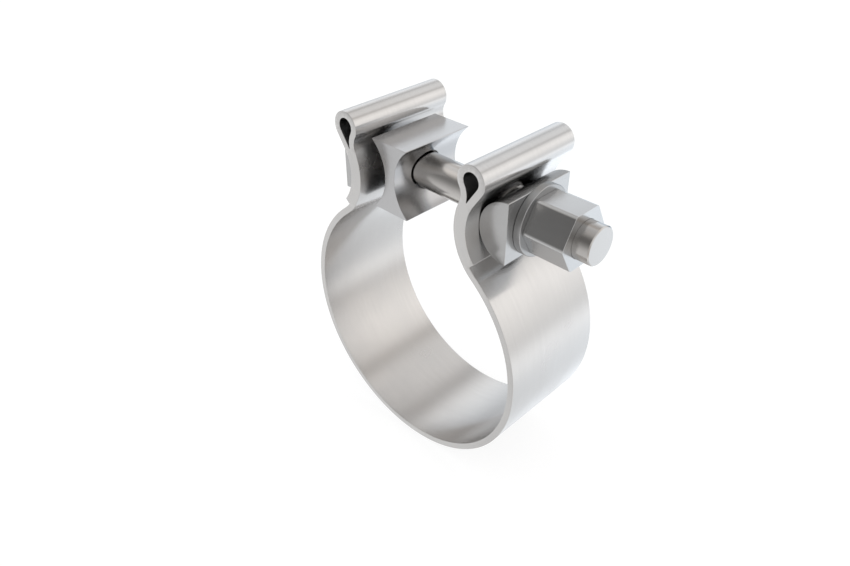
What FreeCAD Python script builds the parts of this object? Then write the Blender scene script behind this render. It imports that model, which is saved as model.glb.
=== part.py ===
import FreeCAD, Part
import math
import os
import re
import Sketcher

# A single-bolt exhaust band clamp. One folded strip makes the ring and both ears, and each ear
# turns in a teardrop loop and comes back down doubled. A half-round bar lies in the hollow of
# each ear, a hollowed spacer floats on the bolt between the ears, and a tall nut on a washer
# draws the ears together.
#
# The origin is on the pipe's axis at the middle of the band's width. +Y runs along the pipe,
# +X along the bolt towards the nut, and +Z up through the ears. Lengths are in millimetres.

SIZES = {
    # band: the folded strip
    "ring_radius": 34.925,          # inside of the ring, half the pipe's diameter
    "band_width": 31.75,            # along the pipe
    "strip_thickness": 1.75,
    "ear_gap": 31.9,                # between the ears at the bolt
    "ear_radius": 15.68,            # the ear's curve, on the face towards the gap
    "ear_hole_radius": 5.55,
    "crease_radius": 4.0,           # the crease below the loop, on the gap side
    "loop_radius": 2.2,             # inside of the loop at the top of an ear
    "slope_angle": 56.0,            # of the folded layer's straight run below the loop, in degrees
    "slope_length": 4.2,
    "parting_width": 0.19,          # the narrow end of the teardrop, where the two layers part
    "fold_end_angle": 40.4,         # where the folded layer ends, below the bolt, in degrees
    # half-round bars
    "bar_radius": 7.94,
    "bar_length": 22.2,
    "bar_hole_radius": 5.0,
    "seat_gap": 0.05,               # between a loose piece and what it lies against
    # bolt
    "bolt_radius": 4.76,
    "bolt_reach": 4.35,             # past the nut
    "tip_chamfer": 0.25,
    "head_radius": 6.8,
    "head_height": 2.4,
    "head_edge_radius": 0.9,
    "neck_width": 9.52,             # the square neck under the head
    "neck_length": 4.6,
    "neck_gap": 0.05,
    # spacer
    "spacer_thickness": 12.6,       # along the bolt, at its upper and lower edges
    "spacer_height": 18.9,
    "spacer_length": 22.2,
    "spacer_waist": 3.3,            # along the bolt, at the bolt
    "spacer_bore_radius": 5.2,
    "spacer_offset": 10.35,         # from the middle of the gap towards the head
    # washer and nut
    "washer_radius": 8.85,
    "washer_thickness": 1.9,
    "washer_bore_radius": 4.95,
    "washer_edge_radius": 0.5,      # the rounded rim on the nut's side
    "nut_width": 14.0,              # across its flats
    "nut_height": 10.85,
    "nut_edge_radius": 0.5,
    "nut_bore_gap": 0.06,
}

# Sizes that follow from the ones above. The ear's curve is level with the bolt at its middle
# and flows into the ring's circle, which fixes the bolt's height above the pipe's axis.
DERIVED = {
    "half_gap": "ear_gap / 2",
    "bolt_height": "sqrt((ring_radius + ear_radius) ^ 2 - (half_gap + ear_radius) ^ 2)",
    "seat_place": "half_gap + 2 * strip_thickness",
    "bar_flat_place": "seat_place + bar_radius",
    "nut_bar_place": "bar_flat_place + seat_gap",
    "washer_place": "nut_bar_place",
    "nut_place": "washer_place + washer_thickness",
    "bolt_tip_place": "nut_place + nut_height + bolt_reach",
    "bolt_length": "bar_flat_place + bolt_tip_place",
    "spacer_hollow_depth": "(spacer_thickness - spacer_waist) / 2",
    "spacer_hollow_radius":
        "((spacer_height / 2) ^ 2 + spacer_hollow_depth ^ 2) / (2 * spacer_hollow_depth)",
    "nut_corner_radius": "nut_width / sqrt(3)",
    "nut_bore_radius": "bolt_radius + nut_bore_gap",
}

SAME = 1e-6                         # lengths that differ by less are the same

doc = FreeCAD.newDocument("exhaust_clamp")
sheet = doc.addObject("Spreadsheet::Sheet", "sizes")
for row, (word, value) in enumerate(SIZES.items(), start=1):
    sheet.set(f"A{row}", word)
    sheet.set(f"B{row}", str(value))
    sheet.setAlias(f"B{row}", word)
for row, (word, formula) in enumerate(DERIVED.items(), start=len(SIZES) + 2):
    sheet.set(f"A{row}", word)
    sheet.set(f"B{row}", "=" + formula)
    sheet.setAlias(f"B{row}", word)
doc.recompute()


def size(word):
    return float(sheet.get(word))


def cell(formula):
    # A formula in the named sizes, with each name spelled in full.
    def full(match):
        word = match.group()
        return "sizes." + word if word in SIZES or word in DERIVED else word

    return re.sub("[a-z_]+", full, formula)


def place(body, along_bolt):
    # Puts a piece whose own origin is on the bolt's axis at its place along the bolt.
    body.setExpression("Placement.Base.x", cell(along_bolt))
    body.setExpression("Placement.Base.z", cell("bolt_height"))


def origin_plane(body, role):
    for feature in body.Origin.OriginFeatures:
        if feature.Role == role:
            return feature
    raise ValueError(role)


def new_body(name):
    body = doc.addObject("PartDesign::Body", name)
    body.Label = name
    return body


def new_sketch(body, name, role):
    sketch = body.newObject("Sketcher::SketchObject", name)
    sketch.AttachmentSupport = [(origin_plane(body, role), "")]
    sketch.MapMode = "FlatFace"
    return sketch


def dimension(sketch, formula, *constraint):
    # One dimension of an outline, held to the named sizes.
    index = sketch.addConstraint(Sketcher.Constraint(*constraint))
    sketch.setExpression(f"Constraints[{index}]", cell(formula))
    return index


def point(x, z):
    return FreeCAD.Vector(x, z, 0)


def polar(centre, radius, angle):
    return point(centre.x + radius * math.cos(angle), centre.y + radius * math.sin(angle))


def heading(start, end):
    return math.atan2(end.y - start.y, end.x - start.x)


def arc(sketch, centre, radius, start, end):
    # An arc that runs anticlockwise from one angle to the other.
    circle = Part.Circle(centre, FreeCAD.Vector(0, 0, 1), radius)
    return sketch.addGeometry(Part.ArcOfCircle(circle, start, end))


def line(sketch, start, end):
    return sketch.addGeometry(Part.LineSegment(start, end))


def circle_sketch(body, name, role, radius):
    # A circle round the bolt's axis, for a piece whose own origin is on that axis.
    sketch = new_sketch(body, name, role)
    sketch.addGeometry(Part.Circle(point(0, 0), FreeCAD.Vector(0, 0, 1), size(radius)))
    sketch.addConstraint(Sketcher.Constraint("Coincident", 0, 3, -1, 1))
    dimension(sketch, radius, "Radius", 0, size(radius))
    return sketch


def pad(body, sketch, name, length, reverse=False, middle=False):
    feature = body.newObject("PartDesign::Pad", name)
    feature.Profile = sketch
    feature.SideType = "Symmetric" if middle else "One side"
    feature.Reversed = reverse
    feature.setExpression("Length", cell(length))
    sketch.Visibility = False
    return feature


def cut_through(body, sketch, name):
    # A cut right through the piece, both ways from its outline.
    feature = body.newObject("PartDesign::Pocket", name)
    feature.Profile = sketch
    feature.SideType = "Symmetric"
    feature.Type = "ThroughAll"
    return feature


# Band

START, END, CENTRE = 1, 2, 3


def band_centres():
    # Where the arcs of an ear have their centres: ear, loop and crease.
    strip, ear_face = size("strip_thickness"), size("ear_radius")
    slope = math.radians(size("slope_angle"))
    ear = point(size("half_gap") + ear_face, size("bolt_height"))
    turn = polar(ear, ear_face - strip + size("loop_radius"), slope + math.pi / 2)
    loop = polar(turn, size("slope_length"), slope)
    to_ear = ear_face + size("crease_radius")
    to_loop = size("loop_radius") + strip + size("crease_radius")
    span = math.hypot(loop.x - ear.x, loop.y - ear.y)
    along = (to_ear ** 2 - to_loop ** 2 + span ** 2) / (2 * span)
    aside = math.sqrt(to_ear ** 2 - along ** 2)
    way = heading(ear, loop)
    crease = point(ear.x + along * math.cos(way) - aside * math.sin(way),
                   ear.y + along * math.sin(way) + aside * math.cos(way))
    return ear, loop, crease


def half_band_sketch(body):
    # The right half of the strip's edge: half the ring, the ear, its loop and the folded end.
    sketch = new_sketch(body, "strip_profile", "XZ_Plane")
    ring, strip = size("ring_radius"), size("strip_thickness")
    ear_face = size("ear_radius")
    layer_face, seat = ear_face - strip, ear_face - 2 * strip
    crease_face, loop_inside = size("crease_radius"), size("loop_radius")
    parting = size("parting_width")
    centre = point(0, 0)
    ear, loop, crease = band_centres()

    # Angles at which one run meets the next
    foot = heading(centre, ear)
    lift = heading(ear, crease)
    rise = heading(crease, loop)
    lean = math.radians(size("slope_angle")) + math.pi / 2
    fold_end = math.pi + math.radians(size("fold_end_angle"))
    between = crease_face + ear_face
    tip = lift - math.sqrt(2 * parting * (crease_face + strip) / (between * layer_face))

    # The outline
    ring_inside = arc(sketch, centre, ring, -math.pi / 2, foot)
    gap_face = arc(sketch, ear, ear_face, lift, foot + math.pi)
    crease_outside = arc(sketch, crease, crease_face, lift - math.pi, rise)
    loop_outside = arc(sketch, loop, loop_inside + strip, lean - math.pi, rise + math.pi)
    slope_outside = line(sketch, polar(ear, seat, lean),
                         polar(loop, loop_inside + strip, lean - math.pi))
    seat_face = arc(sketch, ear, seat, lean, fold_end)
    cut_end = line(sketch, polar(ear, layer_face, fold_end), polar(ear, seat, fold_end))
    foot_outside = arc(sketch, ear, layer_face, fold_end, foot + math.pi)
    ring_outside = arc(sketch, centre, ring + strip, -math.pi / 2, foot)
    middle = line(sketch, point(0, -ring), point(0, -ring - strip))

    # The teardrop inside the loop
    tip_crease = polar(ear, layer_face + parting, tip)
    crease_inside = arc(sketch, crease, crease_face + strip, heading(crease, tip_crease), rise)
    loop_hole = arc(sketch, loop, loop_inside, lean - math.pi, rise + math.pi)
    slope_inside = line(sketch, polar(ear, layer_face, lean),
                        polar(loop, loop_inside, lean - math.pi))
    layer_inside = arc(sketch, ear, layer_face, lean, tip)
    narrow_end = line(sketch, tip_crease, polar(ear, layer_face, tip))

    # Shared centres, corners that meet, and runs that flow into each other
    rules = [Sketcher.Constraint(kind, *ends) for kind, ends in (
        ("Coincident", (ring_inside, CENTRE, -1, START)),
        ("Coincident", (ring_outside, CENTRE, -1, START)),
        ("Coincident", (seat_face, CENTRE, gap_face, CENTRE)),
        ("Coincident", (foot_outside, CENTRE, gap_face, CENTRE)),
        ("Coincident", (layer_inside, CENTRE, gap_face, CENTRE)),
        ("Coincident", (loop_hole, CENTRE, loop_outside, CENTRE)),
        ("Coincident", (crease_inside, CENTRE, crease_outside, CENTRE)),
        ("Coincident", (ring_inside, START, middle, START)),
        ("Coincident", (ring_outside, START, middle, END)),
        ("Coincident", (seat_face, END, cut_end, END)),
        ("Coincident", (foot_outside, START, cut_end, START)),
        ("Coincident", (crease_inside, START, narrow_end, START)),
        ("Coincident", (layer_inside, END, narrow_end, END)),
        ("Tangent", (ring_inside, END, gap_face, END)),
        ("Tangent", (gap_face, START, crease_outside, START)),
        ("Tangent", (crease_outside, END, loop_outside, END)),
        ("Tangent", (loop_outside, START, slope_outside, END)),
        ("Tangent", (slope_outside, START, seat_face, START)),
        ("Tangent", (foot_outside, END, ring_outside, END)),
        ("Tangent", (crease_inside, END, loop_hole, END)),
        ("Tangent", (loop_hole, START, slope_inside, END)),
        ("Tangent", (slope_inside, START, layer_inside, START)),
        ("PointOnObject", (middle, START, -2)),
        ("PointOnObject", (middle, END, -2)),
        ("PointOnObject", (gap_face, CENTRE, cut_end)),
        ("PointOnObject", (gap_face, CENTRE, narrow_end)),
        ("Equal", (layer_inside, foot_outside)),
    )]
    sketch.addConstraint(rules)

    # Dimensions
    dimension(sketch, "ring_radius", "Radius", ring_inside, ring)
    dimension(sketch, "ring_radius + strip_thickness", "Radius", ring_outside, ring + strip)
    dimension(sketch, "bolt_height", "DistanceY", gap_face, CENTRE, ear.y)
    dimension(sketch, "ear_radius", "Radius", gap_face, ear_face)
    dimension(sketch, "ear_radius - 2 * strip_thickness", "Radius", seat_face, seat)
    dimension(sketch, "crease_radius", "Radius", crease_outside, crease_face)
    dimension(sketch, "loop_radius", "Radius", loop_hole, loop_inside)
    dimension(sketch, "loop_radius + strip_thickness", "Radius", loop_outside, loop_inside + strip)
    dimension(sketch, "slope_angle", "Angle", slope_inside, lean - math.pi / 2)
    dimension(sketch, "slope_length", "Distance", slope_inside, size("slope_length"))
    dimension(sketch, "parting_width", "Distance", narrow_end, parting)
    dimension(sketch, "fold_end_angle", "Angle", cut_end, fold_end - math.pi)
    return sketch


def band():
    body = new_body("band")
    half = pad(body, half_band_sketch(body), "half_strip", "band_width", middle=True)
    doc.recompute()
    whole = body.newObject("PartDesign::Mirrored", "whole_strip")
    whole.Originals = [half]
    whole.MirrorPlane = (origin_plane(body, "YZ_Plane"), [""])
    body.Tip = whole
    doc.recompute()
    holes = new_sketch(body, "ear_holes_profile", "YZ_Plane")
    height = size("bolt_height")
    radius = size("ear_hole_radius")
    holes.addGeometry(Part.Circle(point(0, height), FreeCAD.Vector(0, 0, 1), radius))
    holes.addConstraint(Sketcher.Constraint("PointOnObject", 0, CENTRE, -2))
    dimension(holes, "bolt_height", "DistanceY", 0, CENTRE, height)
    dimension(holes, "ear_hole_radius", "Radius", 0, radius)
    body.Tip = cut_through(body, holes, "ear_holes")
    return body


# Half-round bars


def half_round_bar(name):
    # The flat lies on the piece's own YZ plane and the round side faces -X.
    body = new_body(name)
    sketch = new_sketch(body, "bar_profile", "XZ_Plane")
    radius = size("bar_radius")
    round_side = arc(sketch, point(0, 0), radius, math.pi / 2, 3 * math.pi / 2)
    flat = line(sketch, point(0, -radius), point(0, radius))
    sketch.addConstraint([
        Sketcher.Constraint("Coincident", round_side, CENTRE, -1, START),
        Sketcher.Constraint("Coincident", round_side, END, flat, START),
        Sketcher.Constraint("Coincident", round_side, START, flat, END),
        Sketcher.Constraint("PointOnObject", flat, START, -2),
        Sketcher.Constraint("PointOnObject", flat, END, -2),
    ])
    dimension(sketch, "bar_radius", "Radius", round_side, radius)
    pad(body, sketch, "half_round", "bar_length", middle=True)
    doc.recompute()
    hole = circle_sketch(body, "bolt_hole_profile", "YZ_Plane", "bar_hole_radius")
    body.Tip = cut_through(body, hole, "bolt_hole")
    return body


def square_sketch(body, name, role, width):
    # A square centred on the bolt's axis.
    sketch = new_sketch(body, name, role)
    half = size("neck_width") / 2
    corners = [point(-half, -half), point(half, -half), point(half, half), point(-half, half)]
    sides = [line(sketch, corners[i], corners[(i + 1) % 4]) for i in range(4)]
    for i in range(4):
        meet = ("Coincident", sides[i], END, sides[(i + 1) % 4], START)
        sketch.addConstraint(Sketcher.Constraint(*meet))
        sketch.addConstraint(Sketcher.Constraint(("Horizontal", "Vertical")[i % 2], sides[i]))
    sketch.addConstraint(Sketcher.Constraint("Symmetric", sides[0], START, sides[1], END, -1, START))
    sketch.addConstraint(Sketcher.Constraint("Equal", sides[0], sides[1]))
    dimension(sketch, width, "Distance", sides[0], 2 * half)
    return sketch


def head_side_bar():
    body = half_round_bar("head_side_bar")
    doc.recompute()
    socket = square_sketch(body, "neck_socket_profile", "YZ_Plane", "neck_width + 2 * neck_gap")
    pocket = body.newObject("PartDesign::Pocket", "neck_socket")
    pocket.Profile = socket
    pocket.setExpression("Length", cell("neck_length + neck_gap"))
    body.Tip = pocket
    body.Placement.Rotation = FreeCAD.Rotation(FreeCAD.Vector(0, 0, 1), 180)
    place(body, "-bar_flat_place")
    return body


def nut_side_bar():
    body = half_round_bar("nut_side_bar")
    place(body, "nut_bar_place")
    return body


# Bolt


def bolt():
    # The head bears on the piece's own YZ plane and the shank runs along +X.
    body = new_body("bolt")
    shank = circle_sketch(body, "shank_profile", "YZ_Plane", "bolt_radius")
    pad(body, shank, "shank", "bolt_length")
    doc.recompute()
    neck = square_sketch(body, "neck_profile", "YZ_Plane", "neck_width")
    pad(body, neck, "square_neck", "neck_length")
    doc.recompute()
    head = circle_sketch(body, "head_profile", "YZ_Plane", "head_radius")
    head_pad = pad(body, head, "low_head", "head_height", reverse=True)
    doc.recompute()
    rim = edge_of(head_pad, -size("head_height"), size("head_radius"))
    rounded = body.newObject("PartDesign::Fillet", "head_edge")
    rounded.Base = (head_pad, [rim])
    rounded.setExpression("Radius", cell("head_edge_radius"))
    body.Tip = rounded
    doc.recompute()
    end = edge_of(rounded, size("bolt_length"), size("bolt_radius"))
    bevel = body.newObject("PartDesign::Chamfer", "tip_bevel")
    bevel.Base = (rounded, [end])
    bevel.setExpression("Size", cell("tip_chamfer"))
    body.Tip = bevel
    place(body, "-bar_flat_place")
    return body


def edge_of(feature, along, radius):
    # The name of the circular edge round the X axis that has this place and radius.
    for number, edge in enumerate(feature.Shape.Edges, start=1):
        curve = edge.Curve
        if isinstance(curve, Part.Circle) and abs(curve.Radius - radius) < SAME:
            if abs(curve.Center.x - along) < SAME:
                return f"Edge{number}"
    raise ValueError(f"no edge at {along}")


# Spacer


def spacer():
    # The piece's own origin is at its middle.
    body = new_body("spacer")
    sketch = new_sketch(body, "spacer_profile", "XZ_Plane")
    half, top, waist = (size(word) / 2 for word in
                        ("spacer_thickness", "spacer_height", "spacer_waist"))
    depth = half - waist
    radius = (top ** 2 + depth ** 2) / (2 * depth)
    spread = math.asin(top / radius)
    right = arc(sketch, point(waist + radius, 0), radius, math.pi - spread, math.pi + spread)
    left = arc(sketch, point(-waist - radius, 0), radius, -spread, spread)
    upper = line(sketch, point(-half, top), point(half, top))
    lower = line(sketch, point(-half, -top), point(half, -top))
    sketch.addConstraint([
        Sketcher.Constraint("Coincident", upper, START, left, END),
        Sketcher.Constraint("Coincident", upper, END, right, START),
        Sketcher.Constraint("Coincident", lower, START, left, START),
        Sketcher.Constraint("Coincident", lower, END, right, END),
        Sketcher.Constraint("Horizontal", upper),
        Sketcher.Constraint("Horizontal", lower),
        Sketcher.Constraint("Symmetric", upper, START, lower, END, -1, START),
        Sketcher.Constraint("Equal", upper, lower),
        Sketcher.Constraint("Equal", left, right),
        Sketcher.Constraint("PointOnObject", right, CENTRE, -1),
    ])
    dimension(sketch, "spacer_thickness", "Distance", upper, 2 * half)
    dimension(sketch, "spacer_height / 2", "DistanceY", upper, START, top)
    dimension(sketch, "spacer_hollow_radius", "Radius", right, radius)
    pad(body, sketch, "hollowed_block", "spacer_length", middle=True)
    doc.recompute()
    bore = circle_sketch(body, "bore_profile", "YZ_Plane", "spacer_bore_radius")
    body.Tip = cut_through(body, bore, "bore")
    place(body, "-spacer_offset")
    return body


# Washer and nut


def washer():
    body = new_body("washer")
    rim = circle_sketch(body, "washer_profile", "YZ_Plane", "washer_radius")
    disc = pad(body, rim, "disc", "washer_thickness")
    doc.recompute()
    edge = edge_of(disc, size("washer_thickness"), size("washer_radius"))
    rounded = body.newObject("PartDesign::Fillet", "rounded_rim")
    rounded.Base = (disc, [edge])
    rounded.setExpression("Radius", cell("washer_edge_radius"))
    body.Tip = rounded
    doc.recompute()
    bore = circle_sketch(body, "washer_bore_profile", "YZ_Plane", "washer_bore_radius")
    body.Tip = cut_through(body, bore, "washer_bore")
    place(body, "washer_place")
    return body


def nut():
    body = new_body("nut")
    sketch = new_sketch(body, "nut_profile", "YZ_Plane")
    corner = size("nut_corner_radius")
    corners = [polar(point(0, 0), corner, math.radians(60 * i)) for i in range(6)]
    sides = [line(sketch, corners[i], corners[(i + 1) % 6]) for i in range(6)]
    guide = sketch.addGeometry(Part.Circle(point(0, 0), FreeCAD.Vector(0, 0, 1), corner), True)
    sketch.addConstraint(Sketcher.Constraint("Coincident", guide, CENTRE, -1, START))
    for i, side in enumerate(sides):
        following = sides[(i + 1) % 6]
        sketch.addConstraint(Sketcher.Constraint("Coincident", side, END, following, START))
        sketch.addConstraint(Sketcher.Constraint("PointOnObject", side, START, guide))
        if i:
            sketch.addConstraint(Sketcher.Constraint("Equal", sides[0], side))
    sketch.addConstraint(Sketcher.Constraint("PointOnObject", sides[0], START, -1))
    dimension(sketch, "nut_corner_radius", "Radius", guide, corner)
    blank = pad(body, sketch, "hexagon", "nut_height")
    doc.recompute()
    ridges = [f"Edge{number}" for number, edge in enumerate(blank.Shape.Edges, start=1)
              if abs(edge.tangentAt(edge.FirstParameter).x) > 1 - SAME]
    rounded = body.newObject("PartDesign::Fillet", "rounded_ridges")
    rounded.Base = (blank, ridges)
    rounded.setExpression("Radius", cell("nut_edge_radius"))
    body.Tip = rounded
    doc.recompute()
    bore = circle_sketch(body, "thread_bore_profile", "YZ_Plane", "nut_bore_radius")
    body.Tip = cut_through(body, bore, "thread_bore")
    place(body, "nut_place")
    return body


pieces = [band(), head_side_bar(), nut_side_bar(), bolt(), spacer(), washer(), nut()]
doc.recompute()

for thing in doc.Objects:
    faults = [state for state in thing.State if state in ("Invalid", "Error")]
    if faults:
        raise RuntimeError(f"{thing.Label}: {faults}")
for piece in pieces:
    shape = piece.Shape
    if shape.isNull() or not shape.isValid() or len(shape.Solids) != 1:
        raise RuntimeError(f"{piece.Label} is not one sound solid")

os.makedirs("parts", exist_ok=True)
for piece in pieces:
    piece.Shape.exportStep(f"parts/{piece.Label}.step")
    box = piece.Shape.BoundBox
    print(f"{piece.Label}: {piece.Shape.Volume:.1f} mm3, "
          f"X {box.XMin:.2f} {box.XMax:.2f}, Y {box.YMin:.2f} {box.YMax:.2f}, "
          f"Z {box.ZMin:.2f} {box.ZMax:.2f}")
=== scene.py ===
import math

import bpy
import bmesh
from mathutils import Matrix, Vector


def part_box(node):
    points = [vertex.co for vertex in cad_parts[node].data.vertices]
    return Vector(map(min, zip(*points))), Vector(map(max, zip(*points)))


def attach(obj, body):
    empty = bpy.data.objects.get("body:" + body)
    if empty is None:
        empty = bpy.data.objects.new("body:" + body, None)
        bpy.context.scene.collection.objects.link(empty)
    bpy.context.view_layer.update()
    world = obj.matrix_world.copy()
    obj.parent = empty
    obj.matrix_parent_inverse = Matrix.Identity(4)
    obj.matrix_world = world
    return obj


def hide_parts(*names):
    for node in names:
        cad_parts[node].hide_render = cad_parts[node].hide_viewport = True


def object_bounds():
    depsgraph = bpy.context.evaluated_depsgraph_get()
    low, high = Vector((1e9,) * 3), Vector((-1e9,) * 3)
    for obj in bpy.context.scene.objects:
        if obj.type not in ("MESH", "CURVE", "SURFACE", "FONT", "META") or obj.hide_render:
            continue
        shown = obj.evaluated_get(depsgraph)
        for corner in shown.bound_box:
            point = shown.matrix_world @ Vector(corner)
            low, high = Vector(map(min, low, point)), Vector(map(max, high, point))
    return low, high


# A single-bolt exhaust band clamp in bright stainless steel, on a pale studio floor. The frame
# is the solid model's: metres, +Y along the pipe, +X along the bolt towards the nut, +Z up.

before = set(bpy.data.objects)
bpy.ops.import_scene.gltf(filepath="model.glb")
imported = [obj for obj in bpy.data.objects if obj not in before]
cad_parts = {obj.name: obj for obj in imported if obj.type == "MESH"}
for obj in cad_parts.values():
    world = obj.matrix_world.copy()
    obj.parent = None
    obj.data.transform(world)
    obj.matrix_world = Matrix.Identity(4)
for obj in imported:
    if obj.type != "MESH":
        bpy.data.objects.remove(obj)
cad_low, cad_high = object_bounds()
MM = 0.001
QUARTER = math.pi / 2
SAME_POINT = 1e-3 * MM                  # points of an outline that are closer are one
SAME_VERTEX = 1e-4 * MM


# Sizes

band_low, band_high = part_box("band")
bar_low, bar_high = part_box("nut_side_bar")
head_bar_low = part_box("head_side_bar")[0]
bolt_low, bolt_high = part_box("bolt")
spacer_low, spacer_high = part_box("spacer")
washer_low, washer_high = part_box("washer")
nut_low, nut_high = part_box("nut")

strip = 1.75 * MM                       # the strip's thickness
band_width = band_high.y - band_low.y
ring_radius = -band_low.z - strip       # inside
bolt_height = (nut_low.z + nut_high.z) / 2
half_gap = 15.95 * MM                   # from the middle to an ear's gap face
ear_radius = 15.68 * MM
crease_radius = 4.0 * MM
loop_radius = 2.2 * MM
slope = math.radians(56.0)              # of the folded layer's straight run
slope_length = 4.2 * MM
parting = 0.19 * MM                     # the teardrop's narrow end
fold_end = math.radians(40.4)           # where the folded layer ends, below the bolt
ear_hole = 5.55 * MM
bar_bore = 5.0 * MM
spacer_waist = 3.3 * MM
spacer_bore = 5.2 * MM
nut_ridge = 1.2 * MM
nut_bore = 4.82 * MM
bolt_radius = 4.76 * MM
head_radius = 6.8 * MM
head_edge = 0.9 * MM
tip_chamfer = 0.25 * MM
washer_bore = 4.95 * MM
washer_radius = 8.85 * MM
washer_edge = 0.2 * MM
nut_slack = 0.01 * MM                   # between the washer and the nut that turns on it
rolled_edge = 0.09 * MM                 # how far the strip's sharp edges are eased
sawn_edge = 0.08 * MM                   # and those of the bars, the spacer and the nut
sawn_corner = 0.16 * MM                 # how round the bars' and the spacer's corners are

# How many degrees apart the points of an arc are, at most.
WIDE_STEP = 2.0
SAWN_STEP = 3.0
CREASE_STEP = 6.0
LOOP_STEP = 8.0
EDGE_STEP = 15.0


# Outlines, as flat points

def polar(centre, radius, angle):
    return Vector((centre.x + radius * math.cos(angle), centre.y + radius * math.sin(angle)))


def heading(start, end):
    return math.atan2(end.y - start.y, end.x - start.x)


def arc(centre, radius, start, end, step=WIDE_STEP):
    # Points on an arc, both ends among them, at most so many degrees apart.
    count = max(2, math.ceil(abs(math.degrees(end - start)) / step))
    return [polar(centre, radius, start + (end - start) * i / count) for i in range(count + 1)]


def joined(*runs):
    # Runs of points one after another, with each shared end kept once.
    points = []
    for run in runs:
        for spot in run:
            if not points or (spot - points[-1]).length > SAME_POINT:
                points.append(spot)
    if (points[0] - points[-1]).length < SAME_POINT:
        points.pop()
    return points


def eased(points, radius, sharp=25.0):
    # The closed outline with each sharp corner turned into a small arc.
    result = []
    for i, corner in enumerate(points):
        before = (corner - points[i - 1]).normalized()
        after = (points[(i + 1) % len(points)] - corner).normalized()
        turn = math.atan2(before.cross(after), before.dot(after))
        if abs(turn) < math.radians(sharp):
            result.append(corner)
            continue
        side = math.copysign(1, turn)
        inward = Vector((-before.y, before.x)) * side
        start = corner - before * radius * math.tan(abs(turn) / 2)
        first = heading(inward, Vector((0, 0)))
        result += arc(start + inward * radius, radius, first, first + turn, EDGE_STEP)
    return result


def mirrored(points):
    return [Vector((-spot.x, spot.y)) for spot in reversed(points)]


def band_outlines():
    # The whole strip seen from its edge, and the teardrop inside each of its two loops.
    origin = Vector((0, 0))
    ear = Vector((half_gap + ear_radius, bolt_height))
    layer, seat = ear_radius - strip, ear_radius - 2 * strip
    lean = slope + QUARTER
    loop = polar(polar(ear, layer + loop_radius, lean), slope_length, slope)
    to_ear = ear_radius + crease_radius
    to_loop = loop_radius + strip + crease_radius
    span = (loop - ear).length
    along = (to_ear ** 2 - to_loop ** 2 + span ** 2) / (2 * span)
    crease = polar(ear, to_ear, heading(ear, loop) + math.acos(along / to_ear))
    foot = heading(origin, ear)
    lift = heading(ear, crease)
    rise = heading(crease, loop)
    tip = lift - math.sqrt(2 * parting * (crease_radius + strip) / (to_ear * layer))
    narrow = polar(ear, layer + parting, tip)

    half = joined(
        arc(origin, ring_radius + strip, -QUARTER, foot),
        arc(ear, layer, foot + math.pi, fold_end + math.pi),
        arc(ear, seat, fold_end + math.pi, lean),
        arc(loop, loop_radius + strip, lean - math.pi, rise + math.pi, CREASE_STEP),
        arc(crease, crease_radius, rise, lift - math.pi, CREASE_STEP),
        arc(ear, ear_radius, lift, foot + math.pi),
        arc(origin, ring_radius, foot, -QUARTER))
    teardrop = joined(
        arc(crease, crease_radius + strip, heading(crease, narrow), rise, CREASE_STEP),
        arc(loop, loop_radius, rise + math.pi, lean - math.pi, LOOP_STEP),
        arc(ear, layer, lean, tip))
    whole = eased(joined(half, mirrored(half)), rolled_edge)
    return whole, teardrop, mirrored(teardrop)


def bar_outline():
    # Half round: the flat side on the line x = 0, the round side towards -X.
    radius = (bar_high.z - bar_low.z) / 2
    return eased(arc(Vector((0, 0)), radius, QUARTER, 3 * QUARTER, SAWN_STEP), sawn_corner)


def spacer_outline():
    # A block hollowed on both sides by arcs as high as itself.
    size = spacer_high - spacer_low
    half, top, waist = size.x / 2, size.z / 2, spacer_waist / 2
    depth = half - waist
    radius = (top ** 2 + depth ** 2) / (2 * depth)
    spread = math.asin(top / radius)
    right = arc(Vector((waist + radius, 0)), radius, math.pi + spread, math.pi - spread,
                SAWN_STEP)
    left = arc(Vector((-waist - radius, 0)), radius, spread, -spread, SAWN_STEP)
    return eased(joined(right, left), sawn_corner)


def nut_outline():
    # A hexagon with two flats level and its ridges rounded.
    corner = (nut_high.z - nut_low.z) / math.sqrt(3)
    points = [polar(Vector((0, 0)), corner, math.radians(60 * i)) for i in range(6)]
    return eased(points, nut_ridge)


# Geometry trees

EDGE_POINTS = 4                         # on the small arc that eases an end's edge
DRILL_SIDES = 96
DRILL_LENGTH = 200 * MM                 # longer than the clamp is wide


def new_object(name, data):
    made = bpy.data.objects.new(name, data)
    bpy.context.scene.collection.objects.link(made)
    return made


def outline_object(name, outlines):
    # Closed poly splines in the XY plane.
    curve = bpy.data.curves.new(name, "CURVE")
    curve.dimensions = "3D"
    for points in outlines:
        spline = curve.splines.new("POLY")
        spline.points.add(len(points) - 1)
        for spot, held in zip(points, spline.points):
            held.co = (spot.x, spot.y, 0, 1)
        spline.use_cyclic_u = True
    return new_object(name, curve)


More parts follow.
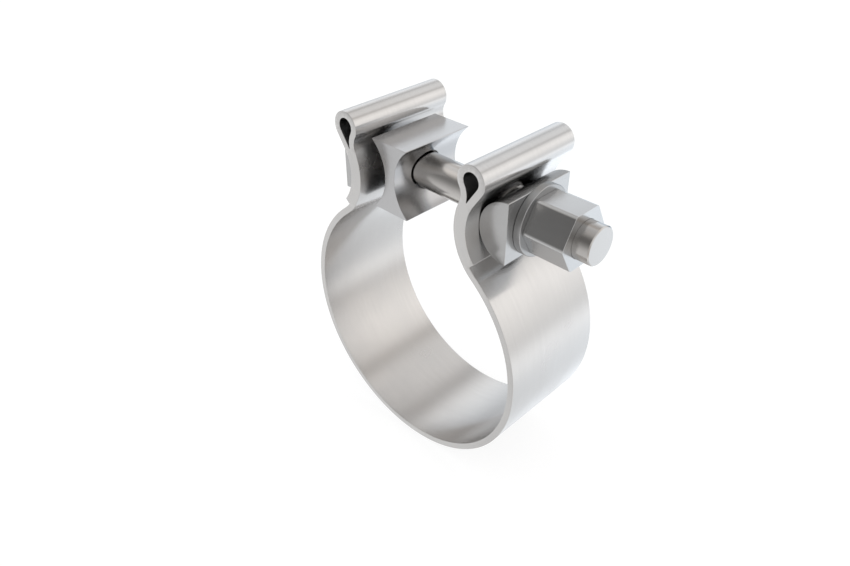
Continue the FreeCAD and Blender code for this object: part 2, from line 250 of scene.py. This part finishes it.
class Tree:
    """A geometry tree, built up node by node from its named sizes."""

    def __init__(self, name, **sizes):
        self.group = bpy.data.node_groups.new(name, "GeometryNodeTree")
        sockets = self.group.interface
        sockets.new_socket("Geometry", in_out="INPUT", socket_type="NodeSocketGeometry")
        for word, kind in sizes.items():
            sockets.new_socket(word, in_out="INPUT", socket_type="NodeSocket" + kind)
        sockets.new_socket("Geometry", in_out="OUTPUT", socket_type="NodeSocketGeometry")
        self.sizes = self.group.nodes.new("NodeGroupInput").outputs
        self.result = self.group.nodes.new("NodeGroupOutput").inputs

    def add(self, kind, inputs, out=0, **settings):
        # One node, given its settings and what goes into each socket, by name or by number.
        node = self.group.nodes.new(kind)
        for word, value in settings.items():
            setattr(node, word, value)
        for socket, value in inputs.items():
            if isinstance(value, bpy.types.NodeSocket):
                self.group.links.new(value, node.inputs[socket])
            else:
                node.inputs[socket].default_value = value
        return node.outputs[out]

    def maths(self, operation, first, second):
        return self.add("ShaderNodeMath", {0: first, 1: second}, operation=operation)

    def vector(self, **parts):
        return self.add("ShaderNodeCombineXYZ", parts)

    def join(self, parts):
        node = self.group.nodes.new("GeometryNodeJoinGeometry")
        for part in parts:
            self.group.links.new(part, node.inputs[0])
        return node.outputs[0]

    def end(self, geometry):
        # What every tree ends in: real, smooth geometry with its material.
        real = self.add("GeometryNodeRealizeInstances", {0: geometry})
        smooth = self.add("GeometryNodeSetShadeSmooth", {0: real, "Shade Smooth": True})
        done = self.add("GeometryNodeSetMaterial", {0: smooth, "Material": self.sizes["material"]})
        self.group.links.new(done, self.result[0])
        return self.group


def section_tree():
    # A closed section in the XY plane drawn out to a length and bored along the bolt. The side
    # wall is a profile swept round the outline, and both ends are filled, so that the sharp
    # edges at the ends are eased all the way round.
    tree = Tree("drawn_section", length="Float", edge="Float", spans="Int", turn="Vector",
                place="Vector", bore="Float", bolt_height="Float", material="Material")
    edge = tree.sizes["edge"]
    half = tree.maths("MULTIPLY", tree.sizes["length"], 0.5)
    straight = tree.maths("SUBTRACT", half, edge)
    inward = tree.maths("MULTIPLY", edge, -1.0)
    low, low_edge = (tree.maths("MULTIPLY", value, -1.0) for value in (half, straight))
    outline = tree.add("GeometryNodeSetCurveNormal", {0: tree.sizes[0]}, mode="Z_UP")

    level = tree.add("GeometryNodeCurvePrimitiveLine", {
        "Start": tree.vector(Y=low_edge), "End": tree.vector(Y=straight)})
    profile = [tree.add("GeometryNodeSubdivideCurve", {0: level, "Cuts": tree.sizes["spans"]})]
    for start, height in ((0, straight), (-QUARTER, low_edge)):
        corner = tree.add("GeometryNodeCurveArc", {
            "Resolution": EDGE_POINTS, "Radius": edge, "Start Angle": start,
            "Sweep Angle": QUARTER})
        profile.append(tree.add("GeometryNodeTransform", {
            0: corner, "Translation": tree.vector(X=inward, Y=height)}))
    walls = tree.add("GeometryNodeCurveToMesh", {0: outline, "Profile Curve": tree.join(profile)})

    shift = tree.add("ShaderNodeVectorMath", {
        0: tree.add("GeometryNodeInputNormal", {}), "Scale": inward}, operation="SCALE")
    inner = tree.add("GeometryNodeSetPosition", {0: outline, "Offset": shift})
    end = tree.add("GeometryNodeFillCurve", {0: inner}, mode="TRIANGLES")
    upper = tree.add("GeometryNodeTransform", {0: end, "Translation": tree.vector(Z=half)})
    lower = tree.add("GeometryNodeTransform", {
        0: tree.add("GeometryNodeFlipFaces", {0: end}), "Translation": tree.vector(Z=low)})
    closed = tree.add("GeometryNodeMergeByDistance", {
        0: tree.join([walls, upper, lower]), "Distance": SAME_VERTEX})
    placed = tree.add("GeometryNodeTransform", {
        0: closed, "Rotation": tree.sizes["turn"], "Translation": tree.sizes["place"]})

    drill = tree.add("GeometryNodeMeshCylinder", {
        "Vertices": DRILL_SIDES, "Radius": tree.sizes["bore"], "Depth": DRILL_LENGTH})
    lifted = tree.add("GeometryNodeTransform", {
        0: drill, "Rotation": (0, QUARTER, 0),
        "Translation": tree.vector(Z=tree.sizes["bolt_height"])})
    bored = tree.add("GeometryNodeMeshBoolean", {0: placed, "Mesh 2": lifted},
                     operation="DIFFERENCE", solver="EXACT")
    return tree.end(bored)


def flattened(obj):
    # The evaluated object as a plain mesh object of the same name.
    bpy.context.view_layer.update()
    seen = obj.evaluated_get(bpy.context.evaluated_depsgraph_get())
    mesh = bpy.data.meshes.new_from_object(seen)
    name = obj.name
    bpy.data.objects.remove(obj)
    mesh.name = name
    return new_object(name, mesh)


def made_by(tree, obj, **sizes):
    # What a tree makes of an object with these sizes, as a plain mesh.
    modifier = obj.modifiers.new("made", "NODES")
    modifier.node_group = tree
    for item in tree.interface.items_tree:
        if item.in_out == "INPUT" and item.name in sizes:
            modifier[item.identifier] = sizes[item.name]
    return flattened(obj)


def finished(obj, material, sharp=35.0):
    # Smooth, except across real corners, with flat faces kept flat up to their eased edges.
    work = bmesh.new()
    work.from_mesh(obj.data)
    bmesh.ops.remove_doubles(work, verts=work.verts, dist=SAME_VERTEX)
    bmesh.ops.recalc_face_normals(work, faces=work.faces)
    for face in work.faces:
        face.smooth = True
    for edge in work.edges:
        edge.smooth = edge.calc_face_angle(math.pi) < math.radians(sharp)
    work.to_mesh(obj.data)
    work.free()
    obj.data.materials.clear()
    obj.data.materials.append(material)
    weighted = obj.modifiers.new("weighted", "WEIGHTED_NORMAL")
    weighted.keep_sharp = True
    return flattened(obj)


def lathe(name, profile, segments=128):
    # Points (along the bolt, radius) turned round the bolt's axis.
    work = bmesh.new()
    rings = []
    for along, radius in profile:
        turns = [2 * math.pi * i / segments for i in range(segments if radius else 1)]
        rings.append([work.verts.new((along, radius * math.cos(turn),
                                      bolt_height + radius * math.sin(turn))) for turn in turns])
    pairs = list(zip(rings, rings[1:]))
    if profile[0][1] and profile[-1][1]:
        pairs.append((rings[-1], rings[0]))
    for first, second in pairs:
        for i in range(segments):
            corners = [first[i % len(first)], first[(i + 1) % segments % len(first)],
                       second[(i + 1) % segments % len(second)], second[i % len(second)]]
            work.faces.new(dict.fromkeys(corners))
    mesh = bpy.data.meshes.new(name)
    work.to_mesh(mesh)
    work.free()
    return new_object(name, mesh)


# Finishes

SMUDGE_SCALE = 90.0
SMUDGE_DETAIL = 3.0
SMUDGE_SHARE = 0.15                     # how much rougher or smoother the smudges are
LINE_DETAIL = 2.0
NOISE_LOW, NOISE_HIGH = 0.3, 0.7        # what most of a noise lies between
LINE_DARK, LINE_BRIGHT = 0.98, 1.01     # how the lines change the colour
LINE_STRENGTH = 0.04
LINE_DEPTH = 0.01 * MM


def steel(name, base, roughness, grain, spread=0.0, across=None):
    # Bright steel: fine lines drawn out along one direction, over faint smudges. The lines spread
    # what the steel mirrors by so much, across themselves.
    material = bpy.data.materials.new(name)
    material.use_nodes = True
    nodes, links = material.node_tree.nodes, material.node_tree.links
    shader = nodes["Principled BSDF"]
    shader.inputs["Metallic"].default_value = 1.0
    place = nodes.new("ShaderNodeTexCoord")

    def noise(scale, detail, stretch):
        mapping = nodes.new("ShaderNodeMapping")
        mapping.inputs["Scale"].default_value = stretch
        links.new(place.outputs["Object"], mapping.inputs["Vector"])
        texture = nodes.new("ShaderNodeTexNoise")
        texture.inputs["Scale"].default_value = scale
        texture.inputs["Detail"].default_value = detail
        links.new(mapping.outputs["Vector"], texture.inputs["Vector"])
        return texture.outputs["Fac"]

    def ranged(value, low, high):
        span = nodes.new("ShaderNodeMapRange")
        span.inputs["From Min"].default_value = NOISE_LOW
        span.inputs["From Max"].default_value = NOISE_HIGH
        span.inputs["To Min"].default_value = low
        span.inputs["To Max"].default_value = high
        links.new(value, span.inputs["Value"])
        return span.outputs["Result"]

    smudge = noise(SMUDGE_SCALE, SMUDGE_DETAIL, (1, 1, 1))
    lines = noise(1.0, LINE_DETAIL, grain)
    tint = nodes.new("ShaderNodeMix")
    tint.data_type = "RGBA"
    tint.inputs["A"].default_value = (*[c * LINE_DARK for c in base], 1)
    tint.inputs["B"].default_value = (*[c * LINE_BRIGHT for c in base], 1)
    links.new(ranged(lines, 0.0, 1.0), tint.inputs["Factor"])
    links.new(tint.outputs["Result"], shader.inputs["Base Color"])
    rough = ranged(smudge, roughness * (1 - SMUDGE_SHARE), roughness * (1 + SMUDGE_SHARE))
    links.new(rough, shader.inputs["Roughness"])
    bump = nodes.new("ShaderNodeBump")
    bump.inputs["Strength"].default_value = LINE_STRENGTH
    bump.inputs["Distance"].default_value = LINE_DEPTH
    links.new(lines, bump.inputs["Height"])
    links.new(bump.outputs["Normal"], shader.inputs["Normal"])
    if across:
        shader.inputs["Anisotropic"].default_value = spread
        tangent = nodes.new("ShaderNodeCombineXYZ")
        for socket, value in zip(tangent.inputs, across):
            socket.default_value = value
        links.new(tangent.outputs[0], shader.inputs["Tangent"])
    return material


# The scale of the lines each way: small the way that they run, large the way that they are fine.
RUN, FINE, EVEN = 60, 1500, 900
ALONG_STRIP = (RUN, FINE, RUN)
ALONG_BAR = (FINE, RUN, FINE)
ALONG_BOLT = (RUN, FINE, FINE)
ROUND_BOLT = (FINE, RUN, RUN)
EVERY_WAY = (EVEN, EVEN, EVEN)
ACROSS_STRIP = (0.05, 1, 0.03)          # along the pipe, and never quite square to a face

rolled_strip = steel("rolled_strip", (0.545, 0.537, 0.53), 0.24, ALONG_STRIP, 0.8, ACROSS_STRIP)
drawn_bar = steel("drawn_bar", (0.43, 0.43, 0.43), 0.24, ALONG_BAR)
drawn_block = steel("drawn_block", (0.45, 0.45, 0.455), 0.22, ALONG_BAR)
turned_bolt = steel("turned_bolt", (0.46, 0.445, 0.43), 0.2, ROUND_BOLT)
stamped_disc = steel("stamped_disc", (0.35, 0.35, 0.35), 0.3, EVERY_WAY)
turned_nut = steel("turned_nut", (0.46, 0.46, 0.46), 0.2, ALONG_BOLT)


# Pieces

PIPE_WAY = (QUARTER, 0, 0)              # turns a section so that it is drawn out along the pipe
BOLT_WAY = (QUARTER, 0, QUARTER)        # and so that it is drawn out along the bolt
drawn_section = section_tree()


def drawn(name, outlines, material, **sizes):
    made = made_by(drawn_section, outline_object(name, outlines), bolt_height=bolt_height,
                   material=material, **sizes)
    return finished(made, material)


def band():
    return drawn("folded_band", band_outlines(), rolled_strip, length=band_width,
                 edge=rolled_edge, spans=7, turn=PIPE_WAY, place=(0, 0, 0), bore=ear_hole)


def half_round(name, outline, flat_side):
    # A bar, given where along the bolt its flat side is.
    return drawn(name, [outline], drawn_bar, length=bar_high.y - bar_low.y, edge=sawn_edge,
                 spans=5, turn=PIPE_WAY, place=(flat_side, 0, bolt_height), bore=bar_bore)


def nut_side_bar():
    return half_round("nut_side_half_round", bar_outline(), bar_high.x)


def head_side_bar():
    return half_round("head_side_half_round", mirrored(bar_outline()), head_bar_low.x)


def spacer():
    middle = (spacer_low.x + spacer_high.x) / 2
    return drawn("hollowed_spacer", [spacer_outline()], drawn_block,
                 length=spacer_high.y - spacer_low.y, edge=sawn_edge, spans=5, turn=PIPE_WAY,
                 place=(middle, 0, bolt_height), bore=spacer_bore)


def nut():
    middle = (nut_low.x + nut_high.x) / 2
    return drawn("tall_nut", [nut_outline()], turned_nut, length=nut_high.x - nut_low.x,
                 edge=sawn_edge, spans=3, turn=BOLT_WAY, place=(middle, 0, bolt_height),
                 bore=nut_bore)


def washer():
    left, right = washer_low.x, washer_high.x - nut_slack
    seat = arc(Vector((left + washer_edge, washer_radius - washer_edge)), washer_edge,
               math.pi, QUARTER, EDGE_STEP)
    rim = arc(Vector((right - washer_edge, washer_radius - washer_edge)), washer_edge,
              QUARTER, 0, EDGE_STEP)
    profile = [(left, washer_bore), *seat, *rim, (right, washer_bore)]
    return finished(lathe("stamped_washer", profile), stamped_disc)


def bolt():
    left, right = bolt_low.x, bolt_high.x
    crown = arc(Vector((left + head_edge, head_radius - head_edge)), head_edge,
                math.pi, QUARTER, EDGE_STEP)
    profile = [(left, 0), *crown, (head_bar_low.x, head_radius), (head_bar_low.x, bolt_radius),
               (right - tip_chamfer, bolt_radius), (right, bolt_radius - tip_chamfer),
               (right, 0)]
    return finished(lathe("long_bolt", profile), turned_bolt)


def shown(obj, node, body):
    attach(obj, body)
    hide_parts(node)


shown(band(), "band", "clamp")
shown(head_side_bar(), "head_side_bar", "clamp")
shown(nut_side_bar(), "nut_side_bar", "clamp")
shown(spacer(), "spacer", "spacer")
shown(bolt(), "bolt", "clamp")
shown(washer(), "washer", "washer")
shown(nut(), "nut", "nut")


# Studio

PAPER_REACH = 1.5
PAPER_SHADE = 0.25
PAPER_GLOW = 0.8
STEEL_SEES = ("Is Glossy Ray", "Is Transmission Ray")


def shares(nodes, links, *kinds):
    # 1 for rays of any of these kinds, else 0.
    path = nodes.new("ShaderNodeLightPath")
    share = path.outputs[kinds[0]]
    for kind in kinds[1:]:
        either = nodes.new("ShaderNodeMath")
        either.operation = "MAXIMUM"
        links.new(share, either.inputs[0])
        links.new(path.outputs[kind], either.inputs[1])
        share = either.outputs[0]
    return share


def floor():
    # White paper: partly its own glow, so that it stays white and only a faint shadow shows.
    work = bmesh.new()
    corners = [(-1, -1), (1, -1), (1, 1), (-1, 1)]
    work.faces.new([work.verts.new((x * PAPER_REACH, y * PAPER_REACH, cad_low.z))
                    for x, y in corners])
    mesh = bpy.data.meshes.new("floor")
    work.to_mesh(mesh)
    work.free()
    made = new_object("floor", mesh)
    made.visible_glossy = False         # the steel sees the world below it instead
    material = bpy.data.materials.new("white_paper")
    material.use_nodes = True
    nodes, links = material.node_tree.nodes, material.node_tree.links
    paper = nodes["Principled BSDF"]
    paper.inputs["Base Color"].default_value = (PAPER_SHADE, PAPER_SHADE, PAPER_SHADE, 1)
    paper.inputs["Roughness"].default_value = 1.0
    paper.inputs["Specular IOR Level"].default_value = 0.0
    glow = nodes.new("ShaderNodeEmission")
    glow.inputs["Strength"].default_value = PAPER_GLOW
    both = nodes.new("ShaderNodeAddShader")
    links.new(paper.outputs[0], both.inputs[0])
    links.new(glow.outputs[0], both.inputs[1])
    choice = nodes.new("ShaderNodeMixShader")
    links.new(shares(nodes, links, "Is Camera Ray", *STEEL_SEES), choice.inputs[0])
    links.new(paper.outputs[0], choice.inputs[1])
    links.new(both.outputs[0], choice.inputs[2])
    links.new(choice.outputs[0], nodes["Material Output"].inputs["Surface"])
    mesh.materials.append(material)


CAMERA_PLACE = (110.887 * MM, -119.806 * MM, 123.031 * MM)
CAMERA_TILT = math.radians(54.7356)     # up from straight down
CAMERA_TURN = math.radians(45)
LENS = 30.714


def camera():
    # Where the photograph was taken from, worked out from the clamp's parallel edges in it.
    data = bpy.data.cameras.new("camera")
    data.lens = LENS
    data.sensor_width = 36.0
    data.clip_start = 0.01
    data.clip_end = 10.0
    made = new_object("camera", data)
    made.location = CAMERA_PLACE
    made.rotation_euler = (CAMERA_TILT, 0, CAMERA_TURN)
    bpy.context.scene.camera = made


# The studio as the steel sees it: the backdrop's white, with lamps and flags as soft zones. Each
# has how many degrees it spreads, how much lighter or darker it is than the rest, and how much
# bluer than that. In front, above and below they are round, given by the way to their middle.
#
# These tables are numbers made by a program, which fitted such zones to the reflections in the
# photograph. ROUND is that fit, rounded or a little changed, and so is ROUND_BEHIND, apart from
# lamp_low_behind, which was added. Most of LONG began so, the rest was added one by one, and all
# of it was then changed.
ROUND = {
    "lamp_overhead": ((-0.7, -0.24, 0.67), 12, 1.1, -0.1),
    "lamp_left": ((-0.93, 0.32, 0.19), 28, 1.8, 0.05),
    "lamp_right": ((0.8, -0.36, -0.48), 39, 0.77, 0),
    "lamp_low_right": ((0.75, 0.12, -0.65), 12, 0.8, 0.05),
    "lamp_low_front": ((-0.26, -0.74, -0.62), 21, 0.35, 0),
    "flag_over_camera": ((0.21, -0.96, 0.16), 28, -0.73, -0.03),
    "flag_high_left": ((-0.68, -0.37, 0.63), 37, -0.96, 0),
    "flag_right": ((0.86, -0.51, -0.08), 9, -0.6, -0.05),
    "flag_low_right": ((0.81, -0.32, -0.49), 12, -1.15, -0.1),
    "flag_below": ((-0.03, -0.71, -0.7), 15, -1.0, 0),
    "flag_under": ((0.44, 0.1, -0.89), 15, -0.5, 0.05),
}

# Behind, they are long and run along the pipe, given by their angle round it from +X, over a
# level that rises towards the pipe's own way.
LEVEL_BEHIND = (0.99, 0.965, 0.945)
RISE_BEHIND = (0.8, 1.0, 1.2)
RISE_FROM = 0.51
LONG = {
    "window_right": (26, 19, 0.41, -0.03),
    "window_low_right": (-28, 7, 0.27, 0),
    "window_above": (88, 14, 0.07, 0.01),
    "window_left": (148, 13, 0.25, 0.04),
    "window_below": (-99, 8, 0.13, 0),
    "flag_low_right": (-13, 5, -0.12, 0),
    "flag_high_right": (60, 6, -0.33, 0),
    "flag_high_left": (121, 7, -0.36, 0),
    "flag_left": (190, 14, -0.28, 0),
    "flag_below": (-51, 11, -0.17, 0),
    "warm_above": (40, 55, 0.05, -0.055),
    "cool_left": (172, 16, 0.02, 0.08),
    "cool_below": (-110, 42, -0.02, 0.12),
}
ROUND_BEHIND = {
    "lamp_low_behind": ((-0.1, 0.78, -0.62), 9, 0.5, 0.05),
    "lamp_low_corner": ((0.43, 0.76, -0.48), 11, 0.5, 0.1),
    "flag_behind": ((0, 1, 0), 16, -1.2, 0),
}
BEHIND_FROM, BEHIND_TO = 0.25, 0.45     # along the pipe, where the front gives way to the back
BLACK_BLEND = 0.15                      # how softly the darkest zones end at black


def sky():
    # The backdrop's white for every ray, and over it the studio's zones for what the steel shows.
    world = bpy.data.worlds.new("studio")
    world.use_nodes = True
    nodes, links = world.node_tree.nodes, world.node_tree.links
    studio = nodes["Background"]

    def node(kind, inputs, out=0, **settings):
        made = nodes.new(kind)
        for word, value in settings.items():
            setattr(made, word, value)
        for socket, value in enumerate(inputs):
            if isinstance(value, bpy.types.NodeSocket):
                links.new(value, made.inputs[socket])
            elif value is not None:
                made.inputs[socket].default_value = value
        return made.outputs[out]

    def maths(operation, *inputs):
        return node("ShaderNodeMath", inputs, operation=operation)

    def vector(operation, *inputs):
        return node("ShaderNodeVectorMath", inputs, operation=operation)

    def lit(level, way, middle, spread, change, bluer):
        # The level with one zone more, round its middle.
        toward = node("ShaderNodeVectorMath", (way, Vector(middle).normalized()), out="Value",
                      operation="DOT_PRODUCT")
        sharpness = 1 / math.radians(spread) ** 2
        share = maths("EXPONENT", maths("MULTIPLY_ADD", toward, sharpness, -sharpness))
        tint = (change, change + bluer / 2, change + bluer)
        return vector("MULTIPLY_ADD", share, tint, level)

    way = nodes.new("ShaderNodeTexCoord").outputs["Generated"]
    across = vector("NORMALIZE", vector("MULTIPLY", way, (1, 0, 1)))
    along = node("ShaderNodeSeparateXYZ", (way,), out="Y")

    front = node("ShaderNodeCombineXYZ", (1, 1, 1))
    for middle, *rest in ROUND.values():
        front = lit(front, way, middle, *rest)
    behind = vector("MULTIPLY_ADD", maths("SUBTRACT", along, RISE_FROM), RISE_BEHIND, LEVEL_BEHIND)
    for angle, *rest in LONG.values():
        turn = math.radians(angle)
        behind = lit(behind, across, (math.cos(turn), 0, math.sin(turn)), *rest)
    for middle, *rest in ROUND_BEHIND.values():
        behind = lit(behind, way, middle, *rest)

    share = node("ShaderNodeMapRange", (along, BEHIND_FROM, BEHIND_TO),
                 interpolation_type="SMOOTHSTEP")
    level = vector("MULTIPLY_ADD", share, vector("SUBTRACT", behind, front), front)
    parts = nodes.new("ShaderNodeSeparateXYZ")
    links.new(level, parts.inputs[0])
    colour = node("ShaderNodeCombineXYZ", [maths("SMOOTH_MAX", part, 0.0, BLACK_BLEND)
                                           for part in parts.outputs])
    links.new(colour, studio.inputs["Color"])
    studio.inputs["Strength"].default_value = 1.0

    backdrop = nodes.new("ShaderNodeBackground")
    backdrop.inputs["Color"].default_value = (1, 1, 1, 1)
    choice = nodes.new("ShaderNodeMixShader")
    links.new(shares(nodes, links, *STEEL_SEES), choice.inputs[0])
    links.new(backdrop.outputs[0], choice.inputs[1])
    links.new(studio.outputs[0], choice.inputs[2])
    links.new(choice.outputs[0], nodes["World Output"].inputs["Surface"])
    bpy.context.scene.world = world


floor()
camera()
sky()
bpy.context.scene.view_settings.view_transform = "Standard"
